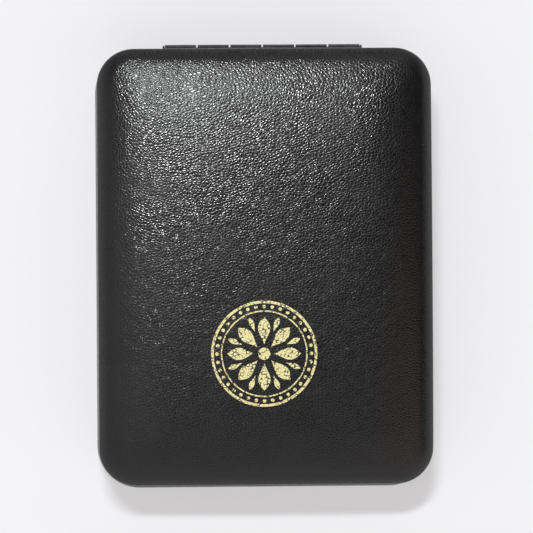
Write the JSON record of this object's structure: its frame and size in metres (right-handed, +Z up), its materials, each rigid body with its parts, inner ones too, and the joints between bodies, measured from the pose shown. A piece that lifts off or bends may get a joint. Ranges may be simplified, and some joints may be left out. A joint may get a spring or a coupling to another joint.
{
  "type": "cased coin",
  "caption": "Hinged clam case in black leatherette over a pressed shell, with a snap spring, a padded lid and a velvet tray that holds a coin in a round well.",
  "frame": {"origin": "the middle of the base's flat underside, in line with the base's outline", "axes": "+Z up, +Y from the front of the case to its hinge, +X to the right with the hinge at the back"},
  "size_m": [0.0636, 0.0841, 0.022],
  "materials": {
    "leatherette": "satin",
    "pressed_steel": "matte",
    "hinge_metal": "polished",
    "rivet_metal": "satin",
    "spring_steel": "satin",
    "grey_card": "matte",
    "velvet": "matte",
    "satin": "satin",
    "wadding": "matte",
    "coin_metal": "polished"
  },
  "bodies": {
    "base": {"base_cover": "leatherette", "base_shell": "pressed_steel", "base_hinge_leaf": "hinge_metal", "hinge_pin": "hinge_metal", "base_hinge_rivet_1": "rivet_metal", "base_hinge_rivet_2": "rivet_metal", "base_hinge_rivet_3": "rivet_metal", "base_hinge_rivet_4": "rivet_metal", "snap_spring": "spring_steel", "tray_riser": "grey_card", "floor_board": "grey_card", "well_board": "grey_card", "well_velvet": "velvet", "tray_velvet": "velvet"},
    "lid": {"lid_cover": "leatherette", "lid_shell": "pressed_steel", "lid_hinge_leaf": "hinge_metal", "pad_board": "grey_card", "lid_wadding": "wadding", "lid_satin": "satin", "lid_wall_lining": "satin", "lid_hinge_rivet_1": "rivet_metal", "lid_hinge_rivet_2": "rivet_metal", "lid_hinge_rivet_3": "rivet_metal", "lid_hinge_rivet_4": "rivet_metal"},
    "coin": {"coin": "coin_metal"}
  },
  "joints": [
    {"name": "lid_hinge", "type": "hinge", "parent": "base", "child": "lid", "pos_m": [0, 0.0413, 0.0095], "axis": [-1, 0, 0], "range_deg": [0, 100], "deforming": ["snap_spring"]},
    {"name": "coin_lift", "type": "slide", "parent": "base", "child": "coin", "axis": [0, 0, 1], "range_m": [0, 0.004]}
  ]
}
